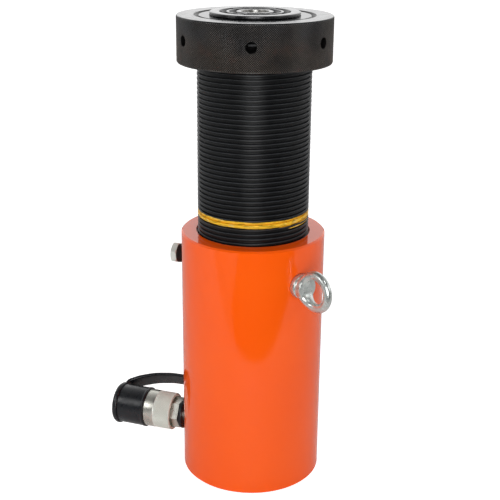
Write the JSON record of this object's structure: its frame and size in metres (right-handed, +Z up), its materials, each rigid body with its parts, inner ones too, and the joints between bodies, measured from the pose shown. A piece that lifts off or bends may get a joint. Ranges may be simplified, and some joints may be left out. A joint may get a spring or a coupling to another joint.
{
  "type": "hydraulic ram with locking collar",
  "caption": "Single-acting hydraulic ram with a threaded plunger, a locking collar, a tilting saddle, a lifting eye and a capped quick coupler.",
  "frame": {"origin": "centre of the base's underside, on the plunger's axis", "axes": "+Z up along the plunger; -X along the oil port and its coupler; the collar and plunger are shown run out"},
  "size_m": [0.221, 0.1292, 0.4141],
  "materials": {
    "orange_enamel": "gloss enamel",
    "black_oxide_thread": "black oxide, satin",
    "black_oxide_collar": "knurled black oxide",
    "black_oxide_saddle": "black oxide, turned and hardened",
    "dark_steel": "black oxide",
    "zinc_plated_steel": "bright zinc",
    "nickel_plated_steel": "plated, satin",
    "spring_steel": "drawn",
    "nitrile_rubber": "matt",
    "polyurethane": "satin",
    "guide_polymer": "satin",
    "black_pvc": "soft satin"
  },
  "bodies": {
    "ram_body": {"cylinder_body": "orange_enamel", "lifting_eye_bolt": "zinc_plated_steel", "overflow_plug": "zinc_plated_steel", "coupler_body": "nickel_plated_steel", "valve_seat": "nickel_plated_steel", "nose_seal": "nitrile_rubber", "sleeve_ring": "spring_steel", "check_spring": "spring_steel", "neck_eyelet": "black_pvc", "cap_strap": "black_pvc"},
    "piston_rings": {"guide_ring": "guide_polymer", "piston_seal": "polyurethane", "backup_ring": "guide_polymer"},
    "plunger": {"plunger": "black_oxide_thread", "saddle_screw": "dark_steel"},
    "collar": {"locking_collar": "black_oxide_collar"},
    "saddle": {"saddle": "black_oxide_saddle"},
    "sleeve": {"coupler_sleeve": "nickel_plated_steel"},
    "cap": {"dust_cap": "black_pvc", "cap_eyelet": "black_pvc"},
    "ball": {"check_ball": "spring_steel"}
  },
  "joints": [
    {"name": "plunger_stroke", "type": "slide", "parent": "ram_body", "child": "piston_rings", "axis": [0, 0, 1], "range_m": [-0.1452, 0.0048]},
    {"name": "plunger_turn", "type": "hinge", "parent": "piston_rings", "child": "plunger", "pos_m": [0, 0, 0.3], "axis": [0, 0, 1], "range_deg": [0, 13068]},
    {"name": "collar_travel", "type": "slide", "parent": "piston_rings", "child": "collar", "axis": [0, 0, 1], "range_m": [-0.1452, 0]},
    {"name": "saddle_tilt", "type": "hinge", "parent": "plunger", "child": "saddle", "pos_m": [0, 0, 0.44099], "axis": [0, 1, 0], "range_deg": [-5, 5]},
    {"name": "sleeve_spin", "type": "hinge", "parent": "ram_body", "child": "sleeve", "pos_m": [-0.1, 0, 0.0345], "axis": [-1, 0, 0], "continuous": true},
    {"name": "cap_pull", "type": "slide", "parent": "ram_body", "child": "cap", "axis": [-1, 0, 0], "range_m": [0, 0.026], "deforming": ["cap_strap"]},
    {"name": "check_lift", "type": "slide", "parent": "ram_body", "child": "ball", "axis": [1, 0, 0], "range_m": [0, 0.003], "stiffness_N_per_m": 1500, "springref_m": -0.004, "deforming": ["check_spring"]}
  ],
  "couplings": [
    {"joint": "collar_travel", "follows": "plunger_turn", "m_per_rad": -0.0006366}
  ]
}
